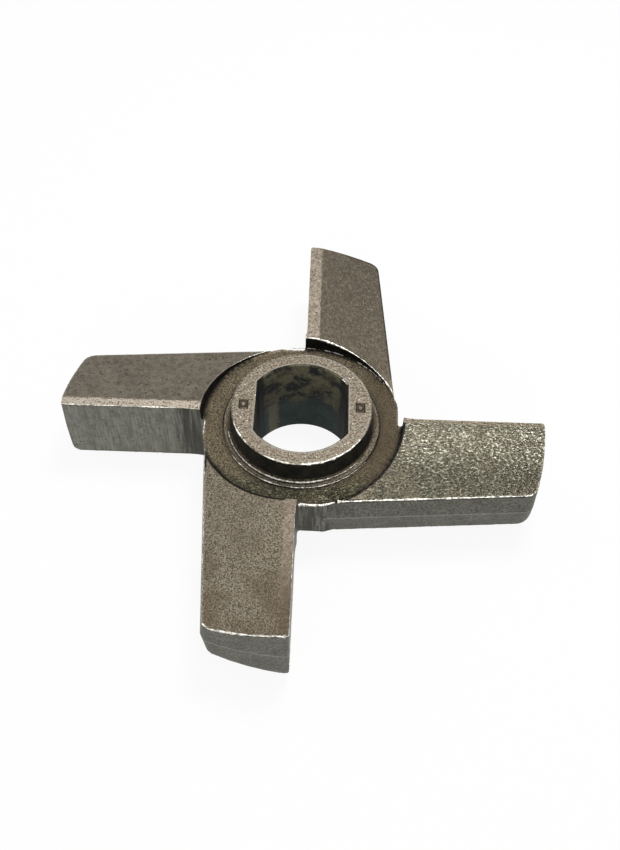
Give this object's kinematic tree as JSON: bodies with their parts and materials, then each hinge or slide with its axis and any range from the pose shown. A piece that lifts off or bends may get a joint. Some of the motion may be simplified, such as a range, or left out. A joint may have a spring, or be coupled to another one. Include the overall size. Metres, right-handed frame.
{
  "type": "meat grinder cross knife",
  "caption": "One-piece cast cross knife for a meat grinder: wedge-shaped arms in a pinwheel round a disc hub, with a collar on each face and a through bore with opposite flats.",
  "frame": {"origin": "on the turning axis, at the end face of the lower collar", "axes": "+Z along the turning axis out of the upper collar, +X along the leading edge of one arm and square to the bore's flats; the knife turns anticlockwise seen from +Z"},
  "size_m": [0.0984, 0.0984, 0.0204],
  "materials": {
    "cast_steel": "as cast with a fine sand grain, ground cutting lands, milled leading faces"
  },
  "bodies": {
    "root": {"cross_knife": "cast_steel"}
  },
  "joints": []
}
